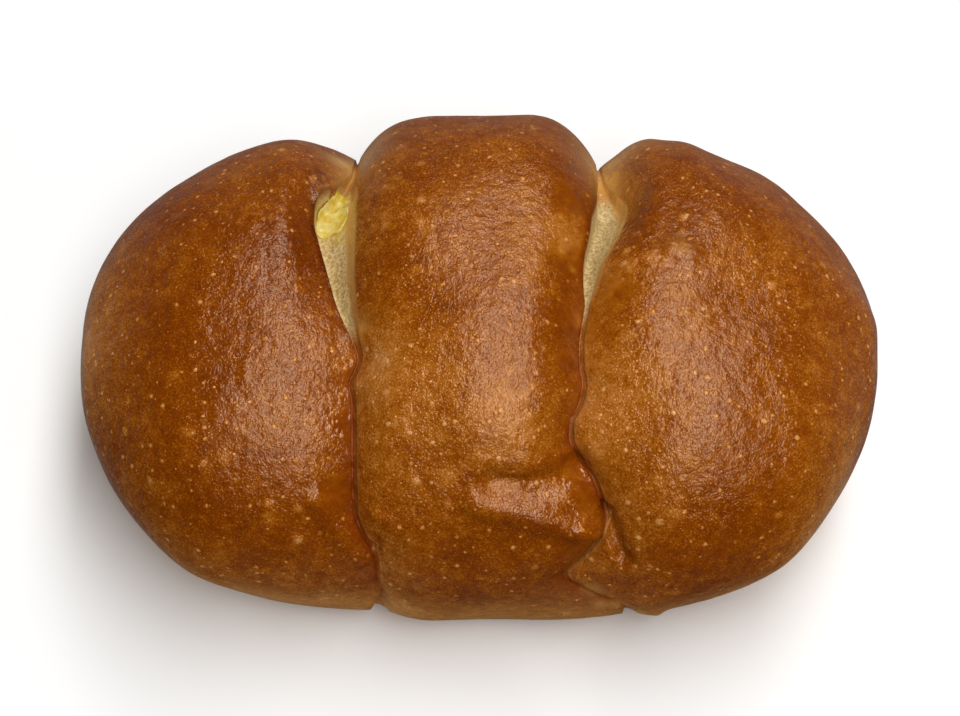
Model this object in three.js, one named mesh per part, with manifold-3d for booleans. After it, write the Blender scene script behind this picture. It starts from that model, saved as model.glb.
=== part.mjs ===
// A custard cream bun: a plump, egg-glazed bun of three lobes on a flat base. Two slits open
// between the lobes at the back of its crown, show the pale crumb and, in the left one, the
// custard, and run on as creases over the front to the base.
// Millimetres, +X along the bun, +Y to the back, +Z up, origin at the middle of the base.
import * as THREE from "three";
import { mergeVertices } from "three/addons/utils/BufferGeometryUtils.js";
import Module from "manifold-3d";

const wasm = await Module();
wasm.setup();

// ---------------------------------------------------------------- driving dimensions
const bunLength = 127;
const bunDepth = 84;
const bunHeight = 46;
const bulgeHeight = 17; // height of the widest line of the flank above the base
const endLift = 7; // how much higher that line is at the two ends
const flankDrop = 28; // how far the flank would curve down below the bulge, were it not cut flat
const backFullness = 2.1; // roundness of the outline seen from above: 2 is an ellipse,
const frontFullness = 2.7; // more is fuller
const crownFullness = 2.4; // roundness of the crown seen from the front
const archFullness = 2.2; // roundness of the arch seen from the end
const flankFullness = 2.8; // roundness of the flank below the bulge
const custardGap = 0.35; // air between the custard and the crumb round it
const centring = { x: 0, y: 0.69 }; // brings the middle of the finished bun over the origin

// Mesh of the skin: rings across the bun, and steps round each ring.
const ringCount = 80;
const stepCount = 64;

// ---------------------------------------------------------------- small mathematics
const mix = THREE.MathUtils.lerp;
const limit = THREE.MathUtils.clamp;

// A smooth curve through [place, value] pairs that never overshoots them.
function curveThrough(pairs) {
  const last = pairs.length - 1;
  const steps = [];
  for (let i = 0; i < last; i++) {
    steps.push((pairs[i + 1][1] - pairs[i][1]) / (pairs[i + 1][0] - pairs[i][0]));
  }
  const slopes = pairs.map((_, i) => {
    if (i === 0) return steps[0];
    if (i === last) return steps[last - 1];
    const [before, after] = [steps[i - 1], steps[i]];
    return before * after > 0 ? (2 * before * after) / (before + after) : 0;
  });
  return (place) => {
    const at = limit(place, pairs[0][0], pairs[last][0]);
    let i = 0;
    while (i < last - 1 && at > pairs[i + 1][0]) i++;
    const span = pairs[i + 1][0] - pairs[i][0];
    const t = (at - pairs[i][0]) / span;
    const [t2, t3] = [t * t, t * t * t];
    return (
      (2 * t3 - 3 * t2 + 1) * pairs[i][1] +
      (t3 - 2 * t2 + t) * span * slopes[i] +
      (3 * t2 - 2 * t3) * pairs[i + 1][1] +
      (t3 - t2) * span * slopes[i + 1]
    );
  };
}

// Falls from 1 at share 0 to 0 at share 1, level at both ends.
function fade(share) {
  const s = limit(share, 0, 1);
  return (1 - s * s) ** 2;
}

// How much of its full size a rounded form keeps at a share of the way to its end.
function roundOff(share, fullness) {
  return (1 - limit(Math.abs(share), 0, 1) ** fullness) ** (1 / fullness);
}

// count + 1 places from start to end, spaced the closer the greater density is there.
function spread(count, start, end, density) {
  const samples = 2000;
  const sums = [0];
  for (let i = 0; i < samples; i++) {
    sums.push(sums[i] + density(mix(start, end, (i + 0.5) / samples)));
  }
  const places = [];
  let i = 0;
  for (let n = 0; n <= count; n++) {
    const wanted = (sums[samples] * n) / count;
    while (i < samples - 1 && sums[i + 1] < wanted) i++;
    places.push(mix(start, end, (i + (wanted - sums[i]) / (sums[i + 1] - sums[i])) / samples));
  }
  return places;
}

// ---------------------------------------------------------------- creases and slits
// A place on the skin is given by its station along the bun and its angle round it, in degrees:
// 0 at the back edge, 90 on the crown, 180 at the front edge, 270 under the bun.
// Each crease has a home station, where the rings crowd, a path, [angle, x], an opening,
// [angle, half width], which is a slit where it is wide, and a depth, [angle, depth], of its
// lips below the lobes. leftRoll and rightRoll say over how many mm each lobe rolls down to it.
const shut = 0.45; // half width of a crease that is pressed shut
const creases = [
  {
    home: -18.6,
    path: curveThrough([
      [0, -20.4], [45, -20.2], [58, -21.5], [66, -22.9], [71, -22.8], [78, -22.3], [87, -21.5],
      [95, -20.6], [104, -19], [109, -18.2], [112, -18.7], [115, -19.5], [120, -19], [148, -18.8],
      [153, -17.9], [157, -17], [160, -16.3], [164, -15.8], [176, -15.6], [182, -15],
      [195, -15.6], [205, -16],
    ]),
    opening: curveThrough([
      [0, shut], [44, 0.5], [56, 1.2], [64, 3.1], [71, 3.2], [78, 2.7], [87, 1.95], [95, 1.45],
      [104, 0.7], [109, shut], [178, shut], [184, 0.6], [195, 1.2], [205, 1.8],
    ]),
    depth: curveThrough([
      [-40, 0], [-10, 3.5], [30, 5.3], [60, 4.6], [90, 4.2], [140, 3.6], [165, 2.2],
      [180, 1.3], [215, 0.9],
    ]),
    leftRoll: { reach: 15, sharpness: 2.2 },
    rightRoll: { reach: 10, sharpness: 2.7 },
  },
  {
    home: 17,
    path: curveThrough([
      [0, 19.5], [45, 19.6], [54, 20.3], [61, 20.9], [68, 20.2], [75, 19.3], [84, 17.6],
      [91, 16.9], [97, 16.3], [106, 15.4], [111, 15.4], [115, 15.8], [119, 15.4], [122, 14.6],
      [124, 13.8], [128, 13.7], [131, 14.4], [135, 15.7], [138, 17.1], [143, 18.2],
      [147, 18.9], [150, 19.1], [154, 18.4], [158, 17.4], [162, 16], [166, 14.4], [170, 13],
      [172, 13.2], [175, 14.5], [179, 17.8], [184, 21.4], [190, 23.2], [200, 23.8],
    ]),
    opening: curveThrough([
      [0, shut], [42, 0.5], [52, 1.2], [59, 2.2], [68, 2.5], [75, 2.2], [84, 1.55], [91, 1],
      [96, 0.4], [100, shut], [172, shut], [184, 0.6], [204, 1.5],
    ]),
    depth: curveThrough([
      [-40, 0], [-10, 4], [30, 6.5], [60, 4.8], [90, 4], [140, 3.6], [165, 2.4], [180, 1.2],
      [215, 0.9],
    ]),
    leftRoll: { reach: 9, sharpness: 2.1 },
    rightRoll: { reach: 11, sharpness: 2.8 },
  },
];
const coreHalfWidth = 1.3; // the stations, either side of home, that make the gap itself
const steerReach = 14; // how far from a crease its path still bends the rings
const wideOpening = 2.2; // half width from which an opening is a slit and no longer a crease

// Cross-sections of the gap, [across from the left lip to the right, share of the depth].
const shutSection = curveThrough([[-1, 0], [-0.4, 1], [0.4, 1], [1, 0]]);
const slitSection = curveThrough([[-1, 0], [-0.75, 0.95], [-0.5, 1], [0.55, 0.6], [1, 0]]);
const shutDepth = 0.4;
const slitDepth = 4.4;
const lipUndercut = 0.5; // how far a slit reaches under its left lip

// ---------------------------------------------------------------- lobes and relief
// How far the lobes swell beyond a plain dome, [x, swell], at the back, crown and front.
const backSwell = curveThrough([
  [-60, 0], [-46, 0.6], [-33, 0.7], [-25, -0.4], [-20, -0.8], [-12.5, -0.2], [11.5, 0.3],
  [18, -0.6], [23, -3.6], [29, -1.6], [35, 0.4], [46, 0.2], [60, -2.5],
]);
const crownSwell = curveThrough([
  [-60, 0], [-44, 2.3], [-21, 0], [-1, 1.3], [11, 0.6], [17, 0], [36, 1.1], [60, 0],
]);
const frontSwell = curveThrough([
  [-60, 0.5], [-46, 3], [-30, 0.9], [-16, 0.8], [0, 0.6], [16, 0.5], [30, 2.6], [46, 4], [60, -3],
]);

// Folds of the skin: height out of it (a groove is negative), half width, and a path on it.
const folds = [
  { height: -1.5, width: 3.2, points: [[2, -31.4, 37.6], [8.3, -31.9, 37.1], [14.4, -30.6, 37.8]] },
  { height: 1.3, width: 3, points: [[-0.5, -34, 35.6], [7.2, -35.1, 34.4], [17, -37, 31.3]] },
  { height: 1.2, width: 3, points: [[15.5, -36.6, 32.2], [18, -37.2, 31.2]] },
  { height: -1.9, width: 2, points: [[18.9, -35.8, 33], [19.8, -37, 31.2], [21.9, -39.2, 27.2]] },
  { height: -1.2, width: 1.4, points: [[-15.7, -38, 29.6], [-15.8, -39.6, 27.2]] },
  { height: 0.7, width: 1.6, points: [[-16.1, -35.4, 33.6], [-13.6, -36.3, 32.8]] },
  { height: 1, width: 2.6, points: [[-24.5, -33.3, 34.7], [-21.7, -36.3, 31.8], [-18, -40, 25.9]] },
  { height: 0.6, width: 3, points: [[29.9, 4.4, 43.9], [32.2, 3.2, 43.5]] },
  { height: 0.7, width: 2.6, points: [[-19.5, -9.5, 44.5]] },
  { height: 0.9, width: 3, points: [[-24.5, 18.4, 42.6], [-22.3, 19.2, 42.2]] },
  { height: 0.7, width: 9, points: [[-1, -23, 41.7]] },
];

// The uneven swell of the dough: [height, waves per mm along x, y and z, start].
const lumps = [
  [0.3, 0.13, 0.07, 0.05, 0.4],
  [0.22, -0.09, 0.16, 0.04, 2.1],
  [0.2, 0.21, 0.13, -0.17, 4.4],
  [0.16, -0.26, 0.24, 0.2, 1.2],
];

// Distance from a point to a line of points.
function distanceTo(point, line) {
  if (line.length === 1) return point.distanceTo(line[0]);
  const foot = new THREE.Vector3();
  let nearest = Infinity;
  for (let i = 1; i < line.length; i++) {
    new THREE.Line3(line[i - 1], line[i]).closestPointToPoint(point, true, foot);
    nearest = Math.min(nearest, point.distanceTo(foot));
  }
  return nearest;
}

for (const fold of folds) {
  const corners = fold.points.map((p) => new THREE.Vector3(...p));
  fold.line = corners.length > 2 ? new THREE.CatmullRomCurve3(corners).getPoints(12) : corners;
}

function reliefAt(point) {
  let height = 0;
  for (const fold of folds) {
    height += fold.height * fade(distanceTo(point, fold.line) / fold.width);
  }
  for (const [size, alongX, alongY, alongZ, start] of lumps) {
    height += size * Math.sin(alongX * point.x + alongY * point.y + alongZ * point.z + start);
  }
  return height;
}

// ---------------------------------------------------------------- the skin
// The plain dome without lobes: a point of the ring at x, at an angle round it.
function domePoint(x, angle) {
  const [c, s] = [Math.cos(angle), Math.sin(angle)];
  const fullness = s > 0 ? archFullness : flankFullness;
  const reach = (Math.abs(c) ** fullness + Math.abs(s) ** fullness) ** (-1 / fullness);
  const share = limit((2 * x) / bunLength, -1, 1);
  const halfDepth = (bunDepth / 2) * roundOff(share, c > 0 ? backFullness : frontFullness);
  const bulge = bulgeHeight + endLift * Math.abs(share) ** 3;
  const rise = (s > 0 ? bunHeight - bulge : flankDrop) * roundOff(share, crownFullness);
  return new THREE.Vector3(x, halfDepth * reach * c, bulge + rise * reach * s);
}

// How a crease moves the skin at a station and an angle: aside along the bun, and down.
function creaseAt(crease, station, degrees) {
  const fromHome = station - crease.home;
  const away = Math.abs(fromHome);
  const depth = crease.depth(degrees);
  const opening = crease.opening(degrees);
  const fromLip = Math.max(away - coreHalfWidth, 0);
  const steer = fade(fromLip / (steerReach - coreHalfWidth));
  const bend = (crease.path(degrees) - crease.home) * steer;
  if (away >= coreHalfWidth) {
    const side = Math.sign(fromHome);
    const roll = side < 0 ? crease.leftRoll : crease.rightRoll;
    const drop = depth * Math.max(1 - fromLip / roll.reach, 0) ** roll.sharpness;
    return { shift: bend + side * (opening - coreHalfWidth) * steer, drop };
  }
  const across = fromHome / coreHalfWidth;
  const wide = limit(opening / wideOpening, 0, 1);
  const below = mix(shutDepth * shutSection(across), slitDepth * slitSection(across), wide);
  const strength = limit(depth / 3, 0, 1);
  const undercut = lipUndercut * wide * slitSection(across) * strength;
  return { shift: bend + across * opening - fromHome - undercut, drop: depth + below * strength };
}

// One point of the skin. station is the ring's place along the bun before the creases bend it.
function skinPoint(station, degrees) {
  const angle = THREE.MathUtils.degToRad(degrees);
  let [x, drop] = [station, 0];
  for (const crease of creases) {
    const move = creaseAt(crease, station, degrees);
    x += move.shift;
    drop += move.drop;
  }
  const crown = Math.max(Math.sin(angle), 0);
  const side = Math.cos(angle) > 0 ? backSwell(x) * (0.4 + 0.6 * crown) : frontSwell(x);
  const swell = side * (1 - crown ** 8) + crownSwell(x) * crown;
  const above = limit(1 + 1.6 * Math.sin(angle), 0, 1); // no relief under the bun
  const out = (swell + reliefAt(domePoint(x, angle))) * above - drop;
  const taper = roundOff((2 * station) / bunLength, 6); // both ends stay closed
  const point = domePoint(station, angle);
  const z = Math.max(point.z + out * Math.sin(angle) * taper, 0);
  return [x + centring.x, point.y + out * Math.cos(angle) * taper + centring.y, z];
}

// Rings crowd towards both ends, as on a ball, and at the creases.
function ringDensity(station) {
  const share = (2 * station) / bunLength;
  const ends = 0.55 / Math.sqrt(1.004 - share ** 2);
  return creases.reduce((sum, { home }) => sum + 4 * Math.exp(-(((station - home) / 3) ** 2)), ends);
}

// Steps round a ring crowd where the slits, creases and folds are, and are few under the bun.
const stepDensity = curveThrough([
  [-90, 0.15], [-55, 0.15], [-45, 0.8], [-15, 0.8], [20, 0.5], [50, 1], [190, 1], [225, 0.8],
  [235, 0.15], [270, 0.15],
]);

// A ball whose poles are the bun's two ends, pulled to the shape of the skin.
function skinGeometry() {
  const geometry = new THREE.SphereGeometry(1, stepCount, ringCount);
  const place = geometry.getAttribute("position");
  const stations = spread(ringCount, bunLength / 2, -bunLength / 2, ringDensity);
  const angles = spread(stepCount, -90, 270, stepDensity);
  for (let i = 0; i < place.count; i++) {
    const [ring, step] = [Math.floor(i / (stepCount + 1)), i % (stepCount + 1)];
    place.setXYZ(i, ...skinPoint(stations[ring], angles[step % stepCount]));
  }
  return geometry;
}

// ---------------------------------------------------------------- custard
// The filling lies along the bun, and a tongue of it rises to the left slit, where its top
// leans as the slit's floor does. lean is the share of its height by which a side rises.
const custardBlobs = [
  { centre: [0, 0, 20], radii: [42, 25, 10.5], bluntness: 2, lean: 0, steps: [28, 14] },
  { centre: [-23.7, 15.6, 28.4], radii: [3.3, 4.6, 8.8], bluntness: 3.5, lean: 0.1, steps: [18, 12] },
];

function blobGeometry({ centre, radii, bluntness, lean, steps }, grown) {
  const geometry = new THREE.SphereGeometry(1, ...steps).rotateX(Math.PI / 2);
  const place = geometry.getAttribute("position");
  for (let i = 0; i < place.count; i++) {
    const [x, y] = [place.getX(i), place.getY(i)];
    const z = Math.sign(place.getZ(i)) * roundOff(Math.hypot(x, y), bluntness);
    place.setZ(i, z * (1 + (z > 0 ? lean * x : 0)));
  }
  return geometry.scale(...radii.map((r) => r + grown)).translate(...centre);
}

// ---------------------------------------------------------------- solids
function solidOf(geometry) {
  const bare = geometry.clone().deleteAttribute("normal").deleteAttribute("uv");
  const merged = mergeVertices(bare, 1e-4);
  const mesh = new wasm.Mesh({
    numProp: 3,
    vertProperties: merged.getAttribute("position").array,
    triVerts: new Uint32Array(merged.index.array),
  });
  return new wasm.Manifold(mesh);
}

function geometryOf(solid) {
  const { vertProperties, triVerts } = solid.getMesh();
  const geometry = new THREE.BufferGeometry();
  geometry.setAttribute("position", new THREE.BufferAttribute(vertProperties, 3));
  geometry.setIndex(new THREE.BufferAttribute(triVerts, 1));
  geometry.computeVertexNormals();
  return geometry;
}

function custardSolid(grown) {
  const [filling, tongue] = custardBlobs.map((blob) => solidOf(blobGeometry(blob, grown)));
  return filling.add(tongue);
}

const crust = new THREE.MeshStandardMaterial({ color: "#8b4a12", roughness: 0.38, metalness: 0 });
const custard = new THREE.MeshStandardMaterial({ color: "#d9b24a", roughness: 0.25, metalness: 0 });

function namedMesh(name, solid, material) {
  const mesh = new THREE.Mesh(geometryOf(solid), material);
  mesh.name = name;
  return mesh;
}

const bread = solidOf(skinGeometry()).subtract(custardSolid(custardGap));

const creamBun = new THREE.Group();
creamBun.name = "cream_bun";
creamBun.add(namedMesh("bun", bread, crust));
creamBun.add(namedMesh("custard", custardSolid(0), custard));

export default creamBun;
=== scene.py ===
# A custard cream bun on a white table, seen from 62 degrees above the table.
# Its crust is shaped here once more from the part's own named sizes, finer than in the part,
# and gets the grain, blisters and wrinkles of egg-washed bread.
import math
import bmesh
import bpy
import numpy as np
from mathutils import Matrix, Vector, noise
from mathutils.bvhtree import BVHTree


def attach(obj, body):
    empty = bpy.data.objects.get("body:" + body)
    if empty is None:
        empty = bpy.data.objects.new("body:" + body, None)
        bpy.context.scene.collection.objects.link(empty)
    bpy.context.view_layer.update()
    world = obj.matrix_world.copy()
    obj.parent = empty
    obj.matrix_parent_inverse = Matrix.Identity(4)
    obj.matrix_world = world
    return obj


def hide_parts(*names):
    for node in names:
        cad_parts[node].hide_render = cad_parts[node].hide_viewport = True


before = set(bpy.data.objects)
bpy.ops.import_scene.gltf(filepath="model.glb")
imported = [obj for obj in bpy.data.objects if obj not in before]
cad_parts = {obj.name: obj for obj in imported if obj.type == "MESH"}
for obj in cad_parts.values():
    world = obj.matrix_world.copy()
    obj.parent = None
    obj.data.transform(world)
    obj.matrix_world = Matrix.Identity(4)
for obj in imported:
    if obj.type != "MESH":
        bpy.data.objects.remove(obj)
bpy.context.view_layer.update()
mm = 0.001


def curveThrough(pairs):
    # A smooth curve through [place, value] pairs that never overshoots them.
    places, values = np.array(pairs, float).T
    spans = np.diff(places)
    steps = np.diff(values) / spans
    slopes = np.concatenate([steps[:1], np.zeros(len(places) - 2), steps[-1:]])
    for i, (before, after) in enumerate(zip(steps[:-1], steps[1:]), 1):
        if before * after > 0:
            slopes[i] = 2 * before * after / (before + after)

    def read(place):
        at = np.clip(place, places[0], places[-1])
        i = np.clip(np.searchsorted(places, at) - 1, 0, len(spans) - 1)
        span = spans[i]
        t = (at - places[i]) / span
        return ((2 * t**3 - 3 * t**2 + 1) * values[i] + (t**3 - 2 * t**2 + t) * span * slopes[i]
                + (3 * t**2 - 2 * t**3) * values[i + 1] + (t**3 - t**2) * span * slopes[i + 1])
    return read


def fade(share):
    # Falls from 1 at share 0 to 0 at share 1, level at both ends.
    return (1 - np.clip(share, 0, 1) ** 2) ** 2


def roundOff(share, fullness):
    # How much of its full size a rounded form keeps at a share of the way to its end.
    return (1 - np.clip(np.abs(share), 0, 1) ** fullness) ** (1 / fullness)


def rise(low, high, value):
    # 0 up to low, 1 from high on, smooth between.
    t = np.clip((value - low) / (high - low), 0, 1)
    return t * t * (3 - 2 * t)


def bell(distance, reach):
    return np.exp(-(distance / reach) ** 2)


def smoothLine(points, pieces=6):
    # A rounded line through a few points.
    given = [Vector(p) for p in points]
    if len(given) < 3:
        return np.array(given)
    padded = [2 * given[0] - given[1]] + given + [2 * given[-1] - given[-2]]
    line = []
    for a, b, c, d in zip(padded, padded[1:], padded[2:], padded[3:]):
        for i in range(pieces):
            t = i / pieces
            line.append(b + t * (c - a) / 2 + t**2 * (2 * a - 5 * b + 4 * c - d) / 2
                        + t**3 * (3 * b - a - 3 * c + d) / 2)
    return np.array(line + [given[-1]])


def distanceTo(points, line):
    if len(line) == 1:
        return np.linalg.norm(points - line[0], axis=1)
    nearest = np.full(len(points), np.inf)
    for start, end in zip(line[:-1], line[1:]):
        along = end - start
        share = np.clip((points - start) @ along / (along @ along), 0, 1)
        foot = start + share[:, None] * along
        nearest = np.minimum(nearest, np.linalg.norm(points - foot, axis=1))
    return nearest


def grain(points, size, seed=0):
    # Smooth noise between -1 and 1 whose lumps are about size mm wide.
    shift = Vector((7.3, 3.1, 5.7)) * seed
    return np.array([noise.noise(Vector(p) / size + shift) for p in points])


# The bun's driving sizes in mm, the same as in the part but for its finer rings and steps, and
# how its swell and relief fade at the ends and below.
bun = {
    "length": 127,
    "depth": 84,
    "height": 46,
    "bulgeHeight": 17,
    "endLift": 7,
    "flankDrop": 28,
    "backFullness": 2.1,
    "frontFullness": 2.7,
    "crownFullness": 2.4,
    "archFullness": 2.2,
    "flankFullness": 2.8,
    "centringY": 0.69,
    "endTaper": 6,
    "backShare": 0.4,
    "crownShare": 8,
    "reliefFall": 1.6,
    "rings": 320,
    "steps": 276,
}

# A place on the skin has a station along the bun and an angle round it, in degrees: 0 at the
# back edge, 90 on the crown, 180 at the front edge. Paths, openings and depths go by the angle.
shut = 0.45
creases = [
    {
        "home": -18.6,
        "path": curveThrough([
            [0, -20.4], [45, -20.2], [58, -21.5], [66, -22.9], [71, -22.8], [78, -22.3],
            [87, -21.5], [95, -20.6], [104, -19], [109, -18.2], [112, -18.7], [115, -19.5],
            [120, -19], [148, -18.8], [153, -17.9], [157, -17], [160, -16.3], [164, -15.8],
            [176, -15.6], [182, -15], [195, -15.6], [205, -16]]),
        "opening": curveThrough([
            [0, shut], [44, 0.5], [56, 1.2], [64, 3.1], [71, 3.2], [78, 2.7], [87, 1.95],
            [95, 1.45], [104, 0.7], [109, shut], [178, shut], [184, 0.6], [195, 1.2], [205, 1.8]]),
        "depth": curveThrough([
            [-40, 0], [-10, 3.5], [30, 5.3], [60, 4.6], [90, 4.2], [140, 3.6], [165, 2.2],
            [180, 1.3], [215, 0.9]]),
        "leftRoll": (15, 2.2),
        "rightRoll": (10, 2.7),
        "crumb": (52, 59, 98, 106),
    },
    {
        "home": 17,
        "path": curveThrough([
            [0, 19.5], [45, 19.6], [54, 20.3], [61, 20.9], [68, 20.2], [75, 19.3], [84, 17.6],
            [91, 16.9], [97, 16.3], [106, 15.4], [111, 15.4], [115, 15.8], [119, 15.4],
            [122, 14.6], [124, 13.8], [128, 13.7], [131, 14.4], [135, 15.7], [138, 17.1],
            [143, 18.2], [147, 18.9], [150, 19.1], [154, 18.4], [158, 17.4], [162, 16],
            [166, 14.4], [170, 13], [172, 13.2], [175, 14.5], [179, 17.8], [184, 21.4],
            [190, 23.2], [200, 23.8]]),
        "opening": curveThrough([
            [0, shut], [42, 0.5], [52, 1.2], [59, 2.2], [68, 2.5], [75, 2.2], [84, 1.55],
            [91, 1], [96, 0.4], [100, shut], [172, shut], [184, 0.6], [204, 1.5]]),
        "depth": curveThrough([
            [-40, 0], [-10, 4], [30, 6.5], [60, 4.8], [90, 4], [140, 3.6], [165, 2.4],
            [180, 1.2], [215, 0.9]]),
        "leftRoll": (9, 2.1),
        "rightRoll": (11, 2.8),
        "crumb": (50, 56, 94, 101),
    },
]
# Across a crease, in mm and in shares of its core. One that is pressed shut is shallower here than
# in the part, like the photo's soft seams.
gap = {
    "coreHalfWidth": 1.3,
    "steerReach": 14,
    "wideOpening": 2.2,
    "fullDepth": 3,
    "shutDepth": 0.15,
    "slitDepth": 4.4,
    "lipUndercut": 0.5,
    "leftCrumb": (-0.98, -0.9),
    "rightCrumb": (0.45, 0.75),
    "shutAngles": (104, 112),
    "shutSection": curveThrough([[-1, 0], [-0.4, 1], [0.4, 1], [1, 0]]),
    "slitSection": curveThrough([[-1, 0], [-0.75, 0.95], [-0.5, 1], [0.55, 0.6], [1, 0]]),
}
swell = {
    "back": curveThrough([
        [-60, 0], [-46, 0.6], [-33, 0.7], [-25, -0.4], [-20, -0.8], [-12.5, -0.2],
        [11.5, 0.3], [18, -0.6], [23, -3.6], [29, -1.6], [35, 0.4], [46, 0.2], [60, -2.5]]),
    "crown": curveThrough([
        [-60, 0], [-44, 2.3], [-21, 0], [-1, 1.3], [11, 0.6], [17, 0], [36, 1.1], [60, 0]]),
    "front": curveThrough([
        [-60, 0.5], [-46, 3], [-30, 0.9], [-16, 0.8], [0, 0.6], [16, 0.5], [30, 2.6],
        [46, 4], [60, -3]]),
}
lumps = [  # height, waves per mm along x, y and z, start
    (0.3, 0.13, 0.07, 0.05, 0.4),
    (0.22, -0.09, 0.16, 0.04, 2.1),
    (0.2, 0.21, 0.13, -0.17, 4.4),
    (0.16, -0.26, 0.24, 0.2, 1.2),
]
folds = [  # height, half width, points: first the part's own
    (-1.5, 3.2, [(2, -31.4, 37.6), (8.3, -31.9, 37.1), (14.4, -30.6, 37.8)]),
    (1.3, 3, [(-0.5, -34, 35.6), (7.2, -35.1, 34.4), (17, -37, 31.3)]),
    (1.2, 3, [(15.5, -36.6, 32.2), (18, -37.2, 31.2)]),
    (-1.9, 2, [(18.9, -35.8, 33), (19.8, -37, 31.2), (21.9, -39.2, 27.2)]),
    (-1.2, 1.4, [(-15.7, -38, 29.6), (-15.8, -39.6, 27.2)]),
    (0.7, 1.6, [(-16.1, -35.4, 33.6), (-13.6, -36.3, 32.8)]),
    (1, 2.6, [(-24.5, -33.3, 34.7), (-21.7, -36.3, 31.8), (-18, -40, 25.9)]),
    (0.6, 3, [(29.9, 4.4, 43.9), (32.2, 3.2, 43.5)]),
    (0.7, 2.6, [(-19.5, -9.5, 44.5)]),
    (0.9, 3, [(-24.5, 18.4, 42.6), (-22.3, 19.2, 42.2)]),
    (0.7, 9, [(-1, -23, 41.7)]),
    # then the finer wrinkles and blisters, which only show here
    (-0.5, 0.9, [(2.3, -31, 37.9), (6.5, -31.4, 37.6)]),
    (0.4, 0.7, [(6.6, -32.5, 36.7), (8.8, -32, 37.1), (10, -32.3, 36.8)]),
    (-0.35, 1.6, [(10.2, -36.6, 32.6), (12.5, -37.8, 30.9)]),
    (0.35, 0.8, [(-28.3, -0.8, 44.2), (-27.7, -2, 44.2)]),
    (0.3, 0.9, [(-30.1, 1.5, 43.9)]),
    (0.25, 1.1, [(-35.2, -14.3, 41.7), (-35.1, -16.5, 41.2)]),
    (-0.45, 0.6, [(-12.9, -38.1, 30.2), (-13.3, -38.8, 29), (-14, -38.6, 29.2)]),
]
scorch = {"place": (-24.3, 20.8, 40.4), "radius": 4.6, "speckle": (1.3, 1, 0.15)}
# The finer unevenness of the dough, each kind of noise as its height and its size in mm.
unevenness = {
    "skin": [(0.14, 8), (0.06, 2.6)],
    "seam": (0.5, 2),
    "seamReach": 2.2,
    "crumb": [(0.15, 2.4), (0.1, 0.8)],
    "flakes": [(0.5, 1.5), (0.3, 0.9)],
    "blisterHeight": 0.3,
    "blisterReach": 1.3,
    "least": 0.05,
    "leastBurnt": 0.02,
}


def domePoints(x, angle):
    # The plain dome without lobes: a point of the ring at x, at an angle round it.
    c, s = np.cos(angle), np.sin(angle)
    fullness = np.where(s > 0, bun["archFullness"], bun["flankFullness"])
    reach = (np.abs(c) ** fullness + np.abs(s) ** fullness) ** (-1 / fullness)
    share = np.clip(2 * x / bun["length"], -1, 1)
    outline = np.where(c > 0, roundOff(share, bun["backFullness"]),
                       roundOff(share, bun["frontFullness"]))
    bulge = bun["bulgeHeight"] + bun["endLift"] * np.abs(share) ** 3
    height = np.where(s > 0, bun["height"] - bulge, bun["flankDrop"])
    height = height * roundOff(share, bun["crownFullness"])
    return np.stack([x, bun["depth"] / 2 * outline * reach * c, bulge + height * reach * s], 1)


def creaseAt(crease, station, degrees):
    # How a crease moves the skin: aside along the bun, and down.
    core = gap["coreHalfWidth"]
    fromHome = station - crease["home"]
    away = np.abs(fromHome)
    depth = crease["depth"](degrees)
    opening = crease["opening"](degrees)
    fromLip = np.maximum(away - core, 0)
    steer = fade(fromLip / (gap["steerReach"] - core))
    bend = (crease["path"](degrees) - crease["home"]) * steer
    reach, sharpness = np.where(fromHome[:, None] < 0, crease["leftRoll"], crease["rightRoll"]).T
    roll = depth * np.maximum(1 - fromLip / reach, 0) ** sharpness
    across = fromHome / core
    wide = np.clip(opening / gap["wideOpening"], 0, 1)
    slit = gap["slitSection"](across)
    below = (1 - wide) * gap["shutDepth"] * gap["shutSection"](across) + wide * gap["slitDepth"] * slit
    strength = np.clip(depth / gap["fullDepth"], 0, 1)
    inside = away < core
    shiftIn = bend + across * opening - fromHome - gap["lipUndercut"] * wide * slit * strength
    shiftOut = bend + np.sign(fromHome) * (opening - core) * steer
    return np.where(inside, shiftIn, shiftOut), np.where(inside, depth + below * strength, roll)


def crumbAt(crease, station, degrees):
    # How far the torn crumb shows: 1 in the middle of a slit, 0 on the skin.
    across = (station - crease["home"]) / gap["coreHalfWidth"]
    backEnd, back, front, frontEnd = crease["crumb"]
    along = rise(backEnd, back, degrees) * (1 - rise(front, frontEnd, degrees))
    return along * rise(*gap["leftCrumb"], across) * (1 - rise(*gap["rightCrumb"], across))


def seamAt(crease, station, degrees, reach):
    # 1 in the bottom of a crease that is pressed shut, 0 beyond its reach and in the slits.
    wide = np.clip(crease["opening"](degrees) / gap["wideOpening"], 0, 1)
    return (1 - wide) * rise(*gap["shutAngles"], degrees) * bell(station - crease["home"], reach)


def reliefAt(points):
    height = np.zeros(len(points))
    for size, width, path in folds:
        height += size * fade(distanceTo(points, smoothLine(path)) / width)
    for size, alongX, alongY, alongZ, start in lumps:
        height += size * np.sin(points @ (alongX, alongY, alongZ) + start)
    return height


def burntAt(points):
    return fade(np.linalg.norm(points - scorch["place"], axis=1) / scorch["radius"])


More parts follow.
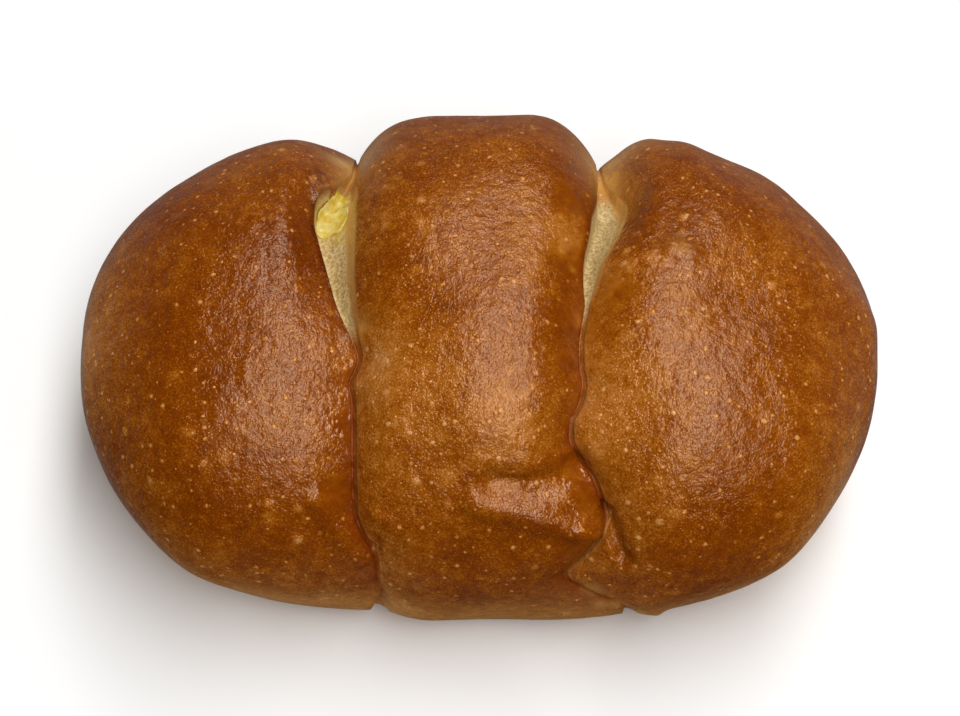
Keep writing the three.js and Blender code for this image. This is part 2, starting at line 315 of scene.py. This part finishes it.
def doughRelief(points, crumb, seam):
    # Soft unevenness of the crust, its wrinkled seams, the torn crumb, and the scorched flakes by
    # the left slit.
    (wide, wideSize), (low, lowSize) = unevenness["skin"]
    height = wide * grain(points, wideSize, 1) + low * grain(points, lowSize, 2)
    wrinkled = seam > unevenness["least"]
    wrinkle, wrinkleSize = unevenness["seam"]
    height[wrinkled] += wrinkle * grain(points[wrinkled], wrinkleSize, 8) * seam[wrinkled]
    for *place, radius in blisters:
        share = np.linalg.norm(points - place, axis=1) / (unevenness["blisterReach"] * radius)
        height += unevenness["blisterHeight"] * radius * fade(share)
    torn = crumb > unevenness["least"]
    (wide, wideSize), (low, lowSize) = unevenness["crumb"]
    pores = wide * grain(points[torn], wideSize, 3) + low * grain(points[torn], lowSize, 4)
    height[torn] = height[torn] * (1 - crumb[torn]) + pores * crumb[torn]
    burnt = burntAt(points)
    flaky = burnt > unevenness["leastBurnt"]
    (wide, wideSize), (low, lowSize) = unevenness["flakes"]
    flakes = wide * np.abs(grain(points[flaky], wideSize, 5)) + low * grain(points[flaky], lowSize, 6)
    height[flaky] += flakes * np.sqrt(burnt[flaky])
    return height


def shapeSkin(station, degrees):
    angle = np.radians(degrees)
    x = station.copy()
    drop, crumb, seam = np.zeros((3, len(station)))
    for crease in creases:
        shift, down = creaseAt(crease, station, degrees)
        x += shift
        drop += down
        crumb += crumbAt(crease, station, degrees)
        seam += seamAt(crease, station, degrees, unevenness["seamReach"])
    c, s = np.cos(angle), np.sin(angle)
    crown = np.maximum(s, 0)
    backShare = bun["backShare"] + (1 - bun["backShare"]) * crown
    side = np.where(c > 0, swell["back"](x) * backShare, swell["front"](x))
    proud = side * (1 - crown ** bun["crownShare"]) + swell["crown"](x) * crown
    above = np.clip(1 + bun["reliefFall"] * s, 0, 1)
    bent = domePoints(x, angle)
    out = (proud + reliefAt(bent) + doughRelief(bent, crumb, seam)) * above - drop
    taper = roundOff(2 * station / bun["length"], bun["endTaper"])
    points = domePoints(station, angle)
    points[:, 0] = x
    points[:, 1] += out * c * taper + bun["centringY"]
    points[:, 2] = np.maximum(points[:, 2] + out * s * taper, 0)
    return points, crumb


def spread(count, start, end, density):
    # count + 1 places from start to end, spaced the closer the greater density is there.
    middles = np.linspace(start, end, 4001)
    sums = np.concatenate([[0], np.cumsum(density((middles[1:] + middles[:-1]) / 2))])
    return np.interp(np.linspace(0, sums[-1], count + 1), sums, middles)


crowding = {"ends": 0.55, "endRoom": 1.004, "creases": 3.2, "creaseReach": 2.6}


def ringDensity(station):
    # Rings crowd towards both ends, as on a ball, and at the creases.
    ends = crowding["ends"] / np.sqrt(crowding["endRoom"] - (2 * station / bun["length"]) ** 2)
    return ends + sum(crowding["creases"] * bell(station - crease["home"], crowding["creaseReach"])
                      for crease in creases)


# Steps round a ring are few under the bun.
stepDensity = curveThrough([
    [-90, 0.15], [-55, 0.15], [-45, 0.7], [-15, 0.7], [20, 0.7], [50, 1], [190, 1], [225, 0.8],
    [235, 0.15], [270, 0.15]])

# How brown the crust looks, 0 for pale dough and 1 for the darkest crust: a base value, and
# zones as (x, y, z, radius, change). Most zones follow the baking; those marked below are painted light and
# shade.
brownBase = 0.5
brownAndPaintedLightZones = [
    # painted shade: darker on the right lobe's top, against the stronger light from the right
    (31, 16, 42, 13, 0.07),
    (25, 10, 43, 6, 0.12),
    (13, 8, 43, 4, -0.18),
    (-27, 8, 43, 8, 0.12),
    (-31, 2, 44, 7, 0.1),
    # painted highlight: lighter on the middle lobe's front, where its sheen falls short
    (5, -24, 41, 6, -0.15),
    (-14, -12, 42, 5, -0.1),
    (25, 30, 30, 6, -0.2),
    # painted light: lighter on the far left flank and low on the left and right flanks, partly paler dough
    # and partly painted reflection of the pale table
    (-61, -3, 22, 14, -0.45),
    (-48, -32, 14, 17, -0.25),
    (50, -29, 17, 13, -0.3),
    (-30, -43, 16, 12, -0.15),
    (-45, 0, 34, 26, 0.08),
    # painted shade: darker low on the left lobe's front flank
    (-42, -28, 24, 22, 0.1),
    (-14, -17, 41, 9, -0.17),
    (15, 6, 42, 8, -0.1),
    (-3, -25, 40, 10, -0.1),
    # painted shade: darker low on the middle and right front flanks
    (0, -41, 20, 12, 0.05),
    (38, -33, 22, 16, 0.1),
    (21, -20, 39, 7, -0.12),
    # painted light: lighter low on the right flank, partly paler dough and partly painted reflection of the
    # pale table
    (53, -24, 18, 11, -0.12),
    scorch["place"] + (3.4, 0.1),
]
# Where the dough stretched in the oven its skin stayed smooth: (x, y, z, radius).
smoothZones = [
    (15, 15, 42.3, 4), (14.8, 4.2, 42.8, 4), (14.6, -6.1, 42.4, 4), (13.9, -13.4, 42.1, 3),
    (22.1, 12.4, 38.5, 3.5), (20.5, -1.6, 43.5, 3), (-19.2, 16.8, 40, 1.4),
    (-18.7, 4.7, 42.1, 1.4), (-18.1, -6.6, 41.5, 1.8), (-21, -21.6, 39.1, 2.4),
    (-21.3, -30.9, 34.2, 3), (14.5, -28.2, 35.3, 3.5), (16.5, -30.7, 34.6, 3),
    (15.1, -37.7, 29.1, 3.5),
]
# Where it tore or was shaded from the heat it stayed pale: (x, y, z, radius, amount). The zones low on the
# right flank and on the far left flank are also painted reflection of the pale table.
paleZones = [
    (-21.9, 27.5, 33.6, 3.2, 0.9), (21.5, 29.6, 30.5, 3.2, 0.9), (53, -28, 15, 8, 0.4),
    (30.5, 5.2, 44, 1.8, 0.35), (-62, -2, 22, 7, 0.25),
    (-18.1, -6.6, 41.5, 1.6, 0.5), (-14.6, -40.1, 17.6, 1.2, 0.4), (-15.8, -38.2, 6.9, 2.5, 0.5),
    (18.7, -41.5, 14.7, 1.6, 0.5), (21.8, -40.7, 14.8, 1.8, 0.6), (17.5, -41, 19, 1.8, 0.5),
]
# Blisters large enough to be placed one by one: (x, y, z, radius).
blisters = [
    (-14.7, 11.2, 44.8, 0.7), (-14.7, 9.2, 45.1, 0.8), (-9, 8.9, 46.9, 1), (-9.9, 0.3, 46.8, 0.7),
    (-13, 18.2, 44, 0.7), (12.5, 11.1, 44.1, 0.6), (12.4, 5, 44.4, 0.7), (14.2, 2.3, 43.2, 0.7),
    (15, -6, 41.7, 0.9), (22.7, 2.3, 44.2, 1), (23.9, 8.6, 43, 0.7), (26.3, 3.6, 45, 0.8),
    (24.4, -7.2, 44.8, 0.9), (22.4, -9.2, 44.2, 0.7), (23.3, -9.9, 44.3, 0.6),
    (28.9, -35, 35.4, 1.2), (-46, -15.1, 41.6, 0.9), (-43.3, -23.8, 40.5, 1.3),
    (-31.5, -35, 33.5, 1.2), (-27.5, -37.1, 29.8, 1.2), (-29.8, 2.9, 44, 0.8),
    (-27.6, -1, 43.5, 0.9), (-4.6, -30.9, 38.8, 1), (-38, -27.8, 39.1, 1.1),
]


dress = {
    # The egg wash runs out between these heights, and these angles at the back, and the dough
    # beyond stays matt. The foot of the bun stays paler up to between its heights.
    "mattHeights": (14, 34),
    "mattAngles": (38, 66),
    "footHeights": (5, 22),
    "footBrown": -0.28,
    "footPale": 0.38,
    "blisterBrown": -0.22,
    # By a crease, as (how much browner, over how many mm of stations): to its left and right, and
    # where its seam is smooth to its left and right.
    "leftBrown": (0.06, 6),
    "rightBrown": (-0.12, 7),
    "seamReach": 1.5,
    "seamSmooth": 0.8,
    "leftSmooth": 2.4,
    "rightSmooth": 1,
    "seamDull": (0.9, 3, 0.8),
    # By a slit: the painted shade along its overhanging left lip and its pale right lip, as shares of the
    # way across.
    "paintedLipShade": (0.3, -1.15, 0.35),
    "paleLip": ((0.3, 0.6), (0.9, 1.4)),
    # The pale dough between two lobes at the back: angle, its reach, station and its reach.
    "notch": (43, 13, 0.3, 3.6),
    "paleSmooth": 0.7,
    "burntMatt": 2,
}
# Where custard is smeared over the crumb: (x, y, z, radius).
smears = [(-24.8, 15, 37.5, 3), (-22.6, 13, 38.2, 2.2), (-22.4, 19.5, 36.5, 2)]


def zoneStrength(points, zone):
    return bell(np.linalg.norm(points - zone[:3], axis=1), zone[3])


def dressSkin(points, station, degrees, crumb):
    # How brown, smooth, pale, matt, creased and smeared with custard the skin is, from 0 to 1; the browning
    # also holds painted light and shade.
    brownAndLight = np.full(len(points), brownBase)
    smooth, pale, seam = np.zeros((3, len(points)))
    for zone in brownAndPaintedLightZones:
        brownAndLight += zone[4] * zoneStrength(points, zone)
    foot = 1 - rise(*dress["footHeights"], points[:, 2])
    brownAndLight += dress["footBrown"] * foot
    for zone in smoothZones:
        smooth = np.maximum(smooth, zoneStrength(points, zone))
    for zone in paleZones:
        pale = np.maximum(pale, zone[4] * zoneStrength(points, zone))
    pale = np.maximum(pale, dress["footPale"] * foot)
    for zone in blisters:
        brownAndLight += dress["blisterBrown"] * zoneStrength(points, zone)
    for crease in creases:
        fromHome = station - crease["home"]
        across = fromHome / gap["coreHalfWidth"]
        wide = np.clip(crease["opening"](degrees) / gap["wideOpening"], 0, 1)
        (leftChange, leftReach), (rightChange, rightReach) = dress["leftBrown"], dress["rightBrown"]
        brownAndLight += np.where(fromHome > 0, rightChange * bell(fromHome, rightReach),
                          leftChange * bell(fromHome, leftReach))
        seam += seamAt(crease, station, degrees, dress["seamReach"])
        # painted shade: darker along the slit's left lip, where it overhangs the crumb and lies in shade
        lipShadeChange, lip, reach = dress["paintedLipShade"]
        brownAndLight += lipShadeChange * bell(across - lip, reach) * wide
        reach = np.where(fromHome > 0, dress["rightSmooth"], dress["leftSmooth"])
        smooth = np.maximum(smooth, dress["seamSmooth"] * seamAt(crease, station, degrees, reach))
        inner, outer = dress["paleLip"]
        lip = rise(*inner, across) * (1 - rise(*outer, across)) * wide
        angle, angleReach, aside, asideReach = dress["notch"]
        notch = bell(degrees - angle, angleReach) * bell(fromHome - aside, asideReach)
        pale = np.maximum(pale, np.maximum(lip, notch))
    burnt = burntAt(points)
    level, size, most = dress["seamDull"]
    dull = 2 * seam * np.clip(level + grain(points, size, 9), 0, most)
    amount, size, level = scorch["speckle"]
    brownAndLight += amount * burnt * (grain(points, size, 7) + level)
    glazed = rise(*dress["mattHeights"], points[:, 2]) * rise(*dress["mattAngles"], degrees)
    return {
        "browning_and_painted_light": np.clip(brownAndLight, 0, 1),
        "smooth": np.maximum(smooth, dress["paleSmooth"] * pale) * (1 - burnt),
        "pale": pale,
        "matt": np.max([1 - glazed, dress["burntMatt"] * burnt, dull], axis=0),
        "seam": seam,
        "smear": np.max([zoneStrength(points, zone) for zone in smears], axis=0),
        "crumb": crumb,
    }


def makeBun():
    print("shaping the bun")
    shape = bmesh.new()
    bmesh.ops.create_uvsphere(shape, u_segments=bun["steps"], v_segments=bun["rings"], radius=1)
    ball = np.array([v.co for v in shape.verts])
    ringShare = np.arccos(np.clip(ball[:, 2], -1, 1)) / math.pi
    stepShare = np.arctan2(ball[:, 1], ball[:, 0]) / (2 * math.pi) % 1
    stations = spread(bun["rings"], bun["length"] / 2, -bun["length"] / 2, ringDensity)
    angles = spread(bun["steps"], -90, 270, stepDensity)
    station = np.interp(ringShare, np.linspace(0, 1, bun["rings"] + 1), stations)
    degrees = np.interp(stepShare, np.linspace(0, 1, bun["steps"] + 1), angles)
    points, crumb = shapeSkin(station, degrees)
    for vert, place in zip(shape.verts, points * mm):
        vert.co = place
    shape.normal_update()
    bmesh.ops.recalc_face_normals(shape, faces=shape.faces)
    bmesh.ops.triangulate(shape, faces=shape.faces)
    mesh = bpy.data.meshes.new("bun_crust")
    shape.to_mesh(mesh)
    shape.free()
    mesh.shade_smooth()
    for name, values in dressSkin(points, station, degrees, crumb).items():
        mesh.attributes.new(name, "FLOAT", "POINT").data.foreach_set("value", values.astype(np.float32))
    piece = bpy.data.objects.new("bun_crust", mesh)
    bpy.context.collection.objects.link(piece)
    return piece


def linear(hexColour):
    # An sRGB hex colour as linear red, green, blue and alpha.
    channels = [int(hexColour[i:i + 2], 16) / 255 for i in (1, 3, 5)]
    return [c / 12.92 if c <= 0.04045 else ((c + 0.055) / 1.055) ** 2.4 for c in channels] + [1]


def addNode(tree, kind, settings=None, links=None):
    # Adds a node with its settings and links, and gives it back.
    node = tree.nodes.new(kind)
    for name, value in (settings or {}).items():
        if isinstance(name, str) and hasattr(node, name):
            setattr(node, name, value)
        else:
            node.inputs[name].default_value = value
    for name, source in (links or {}).items():
        tree.links.new(source, node.inputs[name])
    return node


def newMaterial(name):
    material = bpy.data.materials.new(name)
    material.use_nodes = True
    material.node_tree.nodes.clear()
    return material, material.node_tree


def perMm(size):
    # Scale, on Object coordinates in metres, of a pattern whose cells are size mm wide.
    return 1000 / size


def setRamp(node, stops):
    ramp, stops = node.color_ramp, list(stops)
    while len(ramp.elements) < len(stops):
        ramp.elements.new(0.5)
    for element, (place, colour) in zip(ramp.elements, stops):
        element.position = place
        element.color = linear(colour)


# Egg-washed bread crust: browned dough under a thin glaze of egg, which gives it a satin gloss
# broken up by fine grain and by blisters a little paler than the crust round them.
crustLook = {
    "browns": [
        (0.0, "#c98f55"), (0.15, "#b57539"), (0.28, "#a5621e"), (0.38, "#96520b"),
        (0.48, "#854104"), (0.58, "#783602"), (0.7, "#6c2e01"), (0.85, "#602401"), (1.0, "#4c1901"),
    ],
    "mottles": [(22, 0.14), (5, 0.15), (1.6, 0.17)],  # mm, how far browning varies
    "crinkles": {"size": 0.29, "curl": 0.5, "light": 0.3, "height": 0.08},
    "bareSkin": "#d3a053",
    "bareShare": 0.8,
    "seamRed": "#7e2d04",
    "seamShare": 0.65,
    "grain": {"size": 0.42, "reach": (0.4, 0.75), "light": 0.19, "height": 0.045},
    "pimples": {"size": 1.7, "reach": (0.12, 0.34), "light": 0.6, "height": 0.07},
    "blisters": {"size": 4.5, "reach": (0.07, 0.26), "light": 0.3, "height": 0.14},
    "ripples": [(2, 0.35), (1, 0.05)],  # mm, how high in mm
    "glazeIor": 1.62,
    "glazeTint": "#ffd8b0",
    "gloss": 0.08,
    "glossPatches": (2.5, 0.4),  # mm, how far gloss varies
    "mattness": 0.28,
}
# Torn bread crumb: pale, moist and porous, matt with a few wet glints.
crumbLook = {
    # The crumb is darker where its pores sink: partly its own tone, partly painted shade in the pores.
    "pores": [(0.34, "#997d4c"), (0.6, "#c7ae7a")], "poreMm": 0.45, "poreHeight": 0.2, "gloss": 0.3,
    "smear": {"size": 1.4, "rise": 3.0, "start": 0.8, "most": 0.9},
}
# Custard: a smooth set egg cream, moist and glossy, that lets a little light in.
custardLook = {
    "yellow": "#c4a433", "pale": "#d6c377", "clouds": (0.4, 0.65), "cloudMm": 1.6, "gloss": 0.16,
    "reliefShare": 0.6, "reliefMm": 0.6, "milkiness": 0.3, "milkyMm": 2, "ior": 1.4,
}


def makeCrust():
    material, tree = newMaterial("egg_washed_crust")
    place = addNode(tree, "ShaderNodeTexCoord").outputs["Object"]

    def calculate(operation, *values):
        numbers = {i: v for i, v in enumerate(values) if isinstance(v, (int, float))}
        sources = {i: v for i, v in enumerate(values) if not isinstance(v, (int, float))}
        return addNode(tree, "ShaderNodeMath", {"operation": operation, **numbers}, sources).outputs[0]

    def attribute(name):
        return addNode(tree, "ShaderNodeAttribute", {"attribute_name": name}).outputs["Fac"]

    def cloud(size, detail=2.0, distortion=0.0):
        # Noise between 0 and 1.
        return addNode(tree, "ShaderNodeTexNoise", {
            "Scale": perMm(size), "Detail": detail, "Distortion": distortion},
            {"Vector": place}).outputs["Fac"]

    def evenCloud(size, *detail):
        # The same about 0.
        return calculate("SUBTRACT", cloud(size, *detail), 0.5)

    def mixColours(share, first, second):
        links = {0: share, 6: first}
        settings = {"data_type": "RGBA"}
        if isinstance(second, str):
            settings[7] = linear(second)
        else:
            links[7] = second
        return addNode(tree, "ShaderNodeMix", settings, links).outputs[2]

    def dots(look):
        # Round bumps, each of its own size, as heights from 0 to 1.
        cells = addNode(tree, "ShaderNodeTexVoronoi", {"Scale": perMm(look["size"])}, {"Vector": place})
        chance = addNode(tree, "ShaderNodeSeparateColor", None, {"Color": cells.outputs["Color"]})
        least, most = look["reach"]
        reach = calculate("MULTIPLY_ADD", calculate("POWER", chance.outputs[0], 2.0), most - least, least)
        inner = calculate("MINIMUM", calculate("DIVIDE", cells.outputs["Distance"], reach), 1.0)
        return calculate("POWER", calculate("SUBTRACT", 1.0, calculate("MULTIPLY", inner, inner)), 2.0)

    # The crust's browning attribute also carries painted light and shade from its zones and from the slit's
    # left lip.
    brownAndLight, smooth, crumb = attribute("browning_and_painted_light"), attribute("smooth"), attribute("crumb")
    rough = calculate("SUBTRACT", 1.0, calculate("MAXIMUM", smooth, crumb))
    look = crustLook["crinkles"]
    crinkles = calculate("MULTIPLY", evenCloud(look["size"], 3.0, look["curl"]), rough)
    brownAndLight = calculate("MULTIPLY_ADD", crinkles, -2 * look["light"], brownAndLight)
    height = calculate("MULTIPLY", crinkles, look["height"])
    for size, amount in crustLook["mottles"]:
        brownAndLight = calculate("MULTIPLY_ADD", evenCloud(size), 2 * amount, brownAndLight)
    for kind in ("grain", "pimples", "blisters"):
        look = crustLook[kind]
        bumps = calculate("MULTIPLY", dots(look), rough)
        brownAndLight = calculate("MULTIPLY_ADD", bumps, -look["light"], brownAndLight)
        height = calculate("MULTIPLY_ADD", bumps, look["height"], height)
    browns = addNode(tree, "ShaderNodeValToRGB", None, {"Fac": brownAndLight})
    setRamp(browns, crustLook["browns"])
    skin = mixColours(calculate("MULTIPLY", attribute("seam"), crustLook["seamShare"]),
                      browns.outputs["Color"], crustLook["seamRed"])
    skin = mixColours(calculate("MULTIPLY", attribute("pale"), crustLook["bareShare"]), skin,
                      crustLook["bareSkin"])

    pores = cloud(crumbLook["poreMm"], 4.0)
    crumbColour = addNode(tree, "ShaderNodeValToRGB", None, {"Fac": pores})
    setRamp(crumbColour, crumbLook["pores"])
    look = crumbLook["smear"]
    patches = calculate("MULTIPLY_ADD", cloud(look["size"]), look["rise"], -look["start"])
    smeared = calculate("MINIMUM", calculate("MULTIPLY", attribute("smear"), patches), look["most"])
    torn = mixColours(calculate("MAXIMUM", smeared, 0.0), crumbColour.outputs["Color"],
                      custardLook["yellow"])
    colour = mixColours(crumb, skin, torn)

    for size, amount in crustLook["ripples"]:
        height = calculate("MULTIPLY_ADD", cloud(size), amount, height)
    height = calculate("MULTIPLY_ADD", calculate("MULTIPLY", pores, crumb), crumbLook["poreHeight"], height)
    relief = addNode(tree, "ShaderNodeBump", {"Strength": 1.0, "Distance": mm}, {"Height": height})
    gloss = calculate("MULTIPLY_ADD", crumb, crumbLook["gloss"] - crustLook["gloss"], crustLook["gloss"])
    size, amount = crustLook["glossPatches"]
    gloss = calculate("MULTIPLY_ADD", evenCloud(size), amount, gloss)
    gloss = calculate("MULTIPLY_ADD", attribute("matt"), crustLook["mattness"], gloss)
    shader = addNode(tree, "ShaderNodeBsdfPrincipled", {
        "IOR": crustLook["glazeIor"], "Specular Tint": linear(crustLook["glazeTint"])}, {
        "Base Color": colour, "Roughness": gloss, "Normal": relief.outputs[0]})
    addNode(tree, "ShaderNodeOutputMaterial", None, {"Surface": shader.outputs[0]})
    return material


def makeCustardCream():
    material, tree = newMaterial("egg_custard")
    place = addNode(tree, "ShaderNodeTexCoord").outputs["Object"]
    cloud = addNode(tree, "ShaderNodeTexNoise", {"Scale": perMm(custardLook["cloudMm"]), "Detail": 3.0},
                    {"Vector": place})
    colour = addNode(tree, "ShaderNodeValToRGB", None, {"Fac": cloud.outputs["Fac"]})
    setRamp(colour, zip(custardLook["clouds"], (custardLook["yellow"], custardLook["pale"])))
    relief = addNode(tree, "ShaderNodeBump", {
        "Strength": custardLook["reliefShare"], "Distance": custardLook["reliefMm"] * mm}, {
        "Height": cloud.outputs["Fac"]})
    shader = addNode(tree, "ShaderNodeBsdfPrincipled", {
        "Roughness": custardLook["gloss"], "Subsurface Weight": custardLook["milkiness"],
        "Subsurface Scale": custardLook["milkyMm"] * mm, "IOR": custardLook["ior"]}, {
        "Base Color": colour.outputs["Color"], "Normal": relief.outputs[0]})
    addNode(tree, "ShaderNodeOutputMaterial", None, {"Surface": shader.outputs[0]})
    return material


# The custard: the filling that lies along the bun, and the tongue of it that rises to the left
# slit and spreads over the crumb there.
filling = {
    "centre": (0, 0, 20), "radii": (42, 25, 10.5), "bluntness": 2, "lean": 0, "wobble": 0,
}
tongue = {
    "centre": (-23.7, 16.2, 28.4), "radii": (3.2, 4, 8.8), "bluntness": 3.5, "lean": 0.1,
    "wobble": 0.3,
}
custard = {
    "growth": 0.3,
    "pocketGrowth": 0.36,
    # The tongue laps over the crumb from where it is less than sunk mm below it, by about lap mm,
    # and lies about spread mm high on it. The waves are (level, height, size in mm).
    "sunk": 0.6,
    "lap": 0.9,
    "lapWaves": (1, 0.6, 1.5),
    "spread": 0.25,
    "spreadWaves": (0.8, 1.2, 1.2),
    "wobbles": 2,
    "around": 72,
    "upward": 48,
}


def addBlob(shape, blob, growth):
    made = bmesh.ops.create_uvsphere(
        shape, u_segments=custard["around"], v_segments=custard["upward"], radius=1)["verts"]
    for vert in made:
        height = math.copysign(roundOff(vert.co.xy.length, blob["bluntness"]), vert.co.z)
        lean = 1 + blob["lean"] * vert.co.x if height > 0 else 1
        aside = 1 + blob["wobble"] * noise.noise(Vector((*vert.co.xy, 0)) * custard["wobbles"])
        unit = Vector((vert.co.x * aside, vert.co.y * aside, height * lean))
        place = Vector(blob["centre"]) + Vector([u * (r + growth) for u, r in zip(unit, blob["radii"])])
        vert.co = place * mm
    return made


def makePiece(name, shape):
    mesh = bpy.data.meshes.new(name)
    shape.to_mesh(mesh)
    shape.free()
    mesh.shade_smooth()
    piece = bpy.data.objects.new(name, mesh)
    bpy.context.collection.objects.link(piece)
    return piece


def joinWith(piece, other, operation):
    step = piece.modifiers.new("join", "BOOLEAN")
    step.operation = operation
    step.object = other
    step.solver = "MANIFOLD"
    graph = bpy.context.evaluated_depsgraph_get()
    mesh = bpy.data.meshes.new_from_object(piece.evaluated_get(graph))
    mesh.materials.clear()
    for material in piece.data.materials:
        mesh.materials.append(material)
    piece.modifiers.clear()
    old, piece.data = piece.data, mesh
    bpy.data.meshes.remove(old)
    bpy.data.objects.remove(other)


def waves(place, level, height, size):
    # A level that wavers by about height, in waves some size mm wide.
    return level + height * noise.noise(place / (size * mm))


def floorUnder(floor, place):
    # The height of the crust right under or over a place.
    return floor.ray_cast(Vector((place.x, place.y, 0.1)), Vector((0, 0, -1)))[0].z


def makeCustard(growth, floor=None):
    # floor, a search tree of the crust, lets the tongue's top follow the floor of the slit.
    filled, raised = bmesh.new(), bmesh.new()
    addBlob(filled, filling, growth)
    for vert in addBlob(raised, tongue, growth):
        if floor and vert.co.z > tongue["centre"][2] * mm:
            over = vert.co.z - floorUnder(floor, vert.co) + custard["sunk"] * mm
            if over > 0:
                # Here the tongue comes out of its pocket and laps over the crumb round it.
                aside = (vert.co - Vector(tongue["centre"]) * mm) * Vector((1, 1, 0))
                share = waves(vert.co, *custard["lapWaves"])
                vert.co += aside.normalized() * custard["lap"] * share * mm * min(over / mm, 1)
                wavy = custard["spread"] * waves(vert.co, *custard["spreadWaves"])
                vert.co.z = min(vert.co.z, floorUnder(floor, vert.co) + wavy * mm)
    piece = makePiece("custard_filling", filled)
    joinWith(piece, makePiece("tongue", raised), "UNION")
    return piece


print("bun")
crust = makeBun()
crust.data.materials.append(makeCrust())
skin = bmesh.new()
skin.from_mesh(crust.data)
floor = BVHTree.FromBMesh(skin)
skin.free()
print("custard")
cream = makeCustard(custard["growth"], floor)
cream.data.materials.append(makeCustardCream())
joinWith(crust, makeCustard(custard["pocketGrowth"]), "DIFFERENCE")
print("triangles", len(crust.data.polygons), len(cream.data.polygons))

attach(crust, "root")
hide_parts("bun")
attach(cream, "root")
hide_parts("custard")

print("table, lights and camera")
studio = {
    "tableSize": 6,
    "table": "#f4f4f3",
    "tableRoughness": 0.8,
    "tableIor": 1.3,
    "paleRoom": 0.2,
    "dimRoom": 0.01,
    "backWall": (0.0, 0.45),
    "lowWall": (0.2, -0.3),
    "stripHeight": 0.9,
    "stripSize": (0.28, 1.7),
    "stripAside": 0.2,
    "stripBack": 0.08,
    "stripPower": 12,
    "skyPower": 0.78,
    "skyTilt": (math.radians(14), math.radians(4), 0),
    "skySpread": math.radians(120),
}
bpy.ops.mesh.primitive_plane_add(size=studio["tableSize"])
table = bpy.context.object
table.name = "table"
table.visible_glossy = False
board, tree = newMaterial("matt_white_board")
shader = addNode(tree, "ShaderNodeBsdfPrincipled", {
    "Base Color": linear(studio["table"]), "Roughness": studio["tableRoughness"],
    "IOR": studio["tableIor"]})
addNode(tree, "ShaderNodeOutputMaterial", None, {"Surface": shader.outputs[0]})
table.data.materials.append(board)

# The room is dim overhead and at the front, and pale low at the back. backWall and lowWall say how
# far back and how far down a direction has to point for that.
world = bpy.data.worlds.new("soft_room")
world.use_nodes = True
bpy.context.scene.world = world
tree = world.node_tree
toward = addNode(tree, "ShaderNodeSeparateXYZ", None, {
    0: addNode(tree, "ShaderNodeTexCoord").outputs["Generated"]})
back, low = [addNode(tree, "ShaderNodeMapRange", {"From Min": least, "From Max": most}, {
    "Value": toward.outputs[axis]}).outputs[0]
    for axis, (least, most) in (("Y", studio["backWall"]), ("Z", studio["lowWall"]))]
strength = addNode(tree, "ShaderNodeMath", {"operation": "MULTIPLY_ADD", 2: studio["dimRoom"]}, {
    0: addNode(tree, "ShaderNodeMath", {"operation": "MULTIPLY", 1: studio["paleRoom"]}, {
        0: back}).outputs[0], 1: low})
tree.nodes["Background"].inputs["Color"].default_value = (1, 1, 1, 1)
tree.links.new(strength.outputs[0], tree.nodes["Background"].inputs["Strength"])


def addLight(name, kind, place, turn):
    lamp = bpy.data.objects.new(name, bpy.data.lights.new(name, kind))
    lamp.location = place
    lamp.rotation_euler = turn
    bpy.context.collection.objects.link(lamp)
    return lamp


stripTurn = math.atan2(studio["stripAside"], studio["stripHeight"])
strip = addLight("strip_light", "AREA", (
    studio["stripAside"], studio["stripBack"], studio["stripHeight"]), (0, stripTurn, 0))
strip.data.shape = "RECTANGLE"
strip.data.size, strip.data.size_y = studio["stripSize"]
strip.data.energy = studio["stripPower"]
sky = addLight("soft_sky", "SUN", (0, 0, 1), studio["skyTilt"])
sky.data.energy = studio["skyPower"]
sky.data.angle = studio["skySpread"]
sky.visible_glossy = False

view = {
    "elevation": math.radians(62),
    "distance": 0.37,
    "aim": (0, 0.69 * mm, 17 * mm),
    "lens": 85,
    "sensor": 36,
    "shiftY": 1 / 960,
    "nearest": 0.01,
}
camera = bpy.data.cameras.new("camera")
camera.lens = view["lens"]
camera.sensor_width = view["sensor"]
camera.shift_y = view["shiftY"]
camera.clip_start = view["nearest"]
eye = bpy.data.objects.new("camera", camera)
back = Vector((0, -math.cos(view["elevation"]), math.sin(view["elevation"])))
eye.location = Vector(view["aim"]) + back * view["distance"]
eye.rotation_euler = (math.pi / 2 - view["elevation"], 0, 0)
bpy.context.collection.objects.link(eye)
bpy.context.scene.camera = eye
bpy.context.scene.view_settings.view_transform = "Standard"
